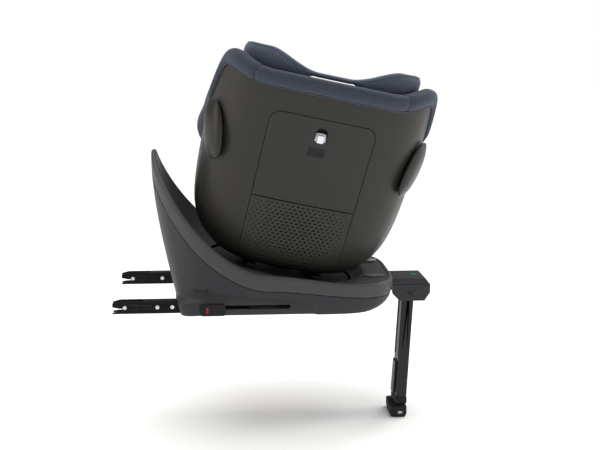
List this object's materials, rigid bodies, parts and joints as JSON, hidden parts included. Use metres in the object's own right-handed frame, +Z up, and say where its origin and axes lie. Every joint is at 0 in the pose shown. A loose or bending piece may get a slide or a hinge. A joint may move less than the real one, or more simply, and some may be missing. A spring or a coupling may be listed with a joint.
{
  "type": "convertible child car seat",
  "caption": "Swivelling child car seat: tilted turntable base with latch arms and support leg, reclining bucket shell, sliding headrest, side pods and five-point harness.",
  "frame": {"origin": "centre of the flat underside of the base, the face that rests on the vehicle seat", "axes": "+X towards the support leg (front of the vehicle), +Y to the left latch arm, +Z up"},
  "size_m": [0.671, 0.5832, 0.8215],
  "materials": {
    "shell_plastic": "fine-grained satin",
    "base_plastic": "fine-grained satin",
    "black_plastic": "grained matt",
    "cover_fabric": "fine knitted fabric",
    "webbing": "woven webbing",
    "foam": "expanded foam beads",
    "steel": "satin",
    "dark_steel": "satin black",
    "red_plastic": "satin",
    "green_plastic": "satin",
    "grey_plastic": "satin",
    "bright_plastic": "polished",
    "sole_rubber": "matt"
  },
  "bodies": {
    "base": {"base_lower_casing": "base_plastic", "base_upper_casing": "base_plastic", "base_chassis": "dark_steel", "swivel_pedestal": "black_plastic", "bearing_ring_lower": "steel", "swivel_axle": "steel", "swivel_nut": "steel", "latch_channel_left": "steel", "latch_channel_right": "steel", "leg_bracket_cover": "base_plastic", "leg_bracket_housing": "base_plastic", "leg_hinge_pin": "steel", "install_indicator": "green_plastic", "control_panel": "base_plastic", "base_screws": "steel"},
    "swivel_button": {"swivel_button": "grey_plastic"},
    "latch_left": {"latch_arm_left": "dark_steel", "latch_rivets_left": "steel", "latch_grip_left": "black_plastic"},
    "latch_right": {"latch_arm_right": "dark_steel", "latch_rivets_right": "steel", "latch_grip_right": "black_plastic"},
    "hook_left": {"latch_hook_left": "steel"},
    "hook_right": {"latch_hook_right": "steel"},
    "release_left": {"latch_release_left": "red_plastic"},
    "release_right": {"latch_release_right": "red_plastic"},
    "turntable": {"turntable_disc": "black_plastic", "bearing_ring_upper": "steel", "recline_guides": "black_plastic"},
    "shell": {"outer_shell": "shell_plastic", "shell_runners": "black_plastic", "foam_liner": "foam", "vent_grille": "shell_plastic", "storage_tray": "black_plastic", "edge_trim": "cover_fabric", "back_pad": "cover_fabric", "seat_pad": "cover_fabric", "front_pad": "cover_fabric", "side_pad_left": "cover_fabric", "side_pad_right": "cover_fabric", "pod_sockets": "black_plastic", "harness_straps": "webbing", "harness_buckle": "black_plastic", "crotch_strap": "webbing", "adjuster_housing": "black_plastic", "adjuster_strap": "webbing"},
    "storage_door": {"storage_door": "shell_plastic", "door_latch": "bright_plastic"},
    "headrest": {"headrest_shell": "cover_fabric", "headrest_pad": "cover_fabric"},
    "headrest_lever": {"headrest_lever": "grey_plastic"},
    "pod_left": {"side_pod_left": "base_plastic"},
    "pod_right": {"side_pod_right": "base_plastic"},
    "buckle_button": {"buckle_button": "red_plastic"},
    "adjuster_button": {"adjuster_button": "grey_plastic"},
    "recline_handle": {"recline_handle": "black_plastic"},
    "leg": {"leg_outer_tube": "base_plastic"},
    "leg_lever": {"leg_lever": "black_plastic"},
    "leg_extension": {"leg_inner_tube": "black_plastic", "leg_foot": "sole_rubber"}
  },
  "joints": [
    {"name": "swivel_button_press", "type": "slide", "parent": "base", "child": "swivel_button", "axis": [0, 0, -1], "range_m": [0, 0.0014], "stiffness_N_per_m": 300},
    {"name": "latch_left_slide", "type": "slide", "parent": "base", "child": "latch_left", "axis": [1, 0, 0], "range_m": [0, 0.12]},
    {"name": "latch_right_slide", "type": "slide", "parent": "base", "child": "latch_right", "axis": [1, 0, 0], "range_m": [0, 0.12]},
    {"name": "hook_left_swing", "type": "hinge", "parent": "latch_left", "child": "hook_left", "pos_m": [-0.318, 0.14, 0.0156], "axis": [0, 1, 0], "range_deg": [-25, 0]},
    {"name": "hook_right_swing", "type": "hinge", "parent": "latch_right", "child": "hook_right", "pos_m": [-0.318, -0.14, 0.0156], "axis": [0, 1, 0], "range_deg": [-25, 0]},
    {"name": "release_left_press", "type": "slide", "parent": "latch_left", "child": "release_left", "axis": [0, -1, 0], "range_m": [0, 0.0015], "stiffness_N_per_m": 300},
    {"name": "release_right_press", "type": "slide", "parent": "latch_right", "child": "release_right", "axis": [0, 1, 0], "range_m": [0, 0.0015], "stiffness_N_per_m": 300},
    {"name": "swivel", "type": "hinge", "parent": "base", "child": "turntable", "pos_m": [0.008, 0, 0.077], "axis": [0.2079, 0, 0.9781], "continuous": true},
    {"name": "recline", "type": "hinge", "parent": "turntable", "child": "shell", "pos_m": [0.10156, -0.06, 0.51717], "axis": [0.9781, 0, -0.2079], "range_deg": [0, 12]},
    {"name": "storage_door_swing", "type": "hinge", "parent": "shell", "child": "storage_door", "pos_m": [0.04077, -0.1996, 0.23116], "axis": [0.9781, 0, -0.2079], "range_deg": [0, 40]},
    {"name": "headrest_slide", "type": "slide", "parent": "shell", "child": "headrest", "axis": [0.1899, -0.4067, 0.8936], "range_m": [0, 0.15]},
    {"name": "headrest_lever_squeeze", "type": "slide", "parent": "headrest", "child": "headrest_lever", "axis": [-0.1899, 0.4067, -0.8936], "range_m": [0, 0.004], "stiffness_N_per_m": 300},
    {"name": "pod_left_slide", "type": "slide", "parent": "shell", "child": "pod_left", "axis": [-0.8949, -0.4458, -0.0175], "range_m": [0, 0.01]},
    {"name": "pod_right_slide", "type": "slide", "parent": "shell", "child": "pod_right", "axis": [0.8104, -0.4458, -0.38], "range_m": [0, 0.01]},
    {"name": "buckle_button_press", "type": "slide", "parent": "shell", "child": "buckle_button", "axis": [-0.0711, -0.9397, -0.3345], "range_m": [0, 0.003], "stiffness_N_per_m": 400},
    {"name": "adjuster_button_press", "type": "slide", "parent": "shell", "child": "adjuster_button", "axis": [-0.1836, 0.4695, -0.8637], "range_m": [0, 0.003], "stiffness_N_per_m": 400},
    {"name": "recline_handle_pull", "type": "slide", "parent": "shell", "child": "recline_handle", "axis": [0.0846, 0.9135, 0.3978], "range_m": [0, 0.008], "stiffness_N_per_m": 400},
    {"name": "leg_fold", "type": "hinge", "parent": "base", "child": "leg", "pos_m": [0.284, 0, 0.012], "axis": [0, 1, 0], "range_deg": [0, 70]},
    {"name": "leg_lever_squeeze", "type": "slide", "parent": "leg", "child": "leg_lever", "axis": [0.9982, 0, -0.0593], "range_m": [0, 0.001], "stiffness_N_per_m": 300},
    {"name": "leg_extend", "type": "slide", "parent": "leg", "child": "leg_extension", "axis": [-0.0593, 0, -0.9982], "range_m": [0, 0.18]}
  ]
}
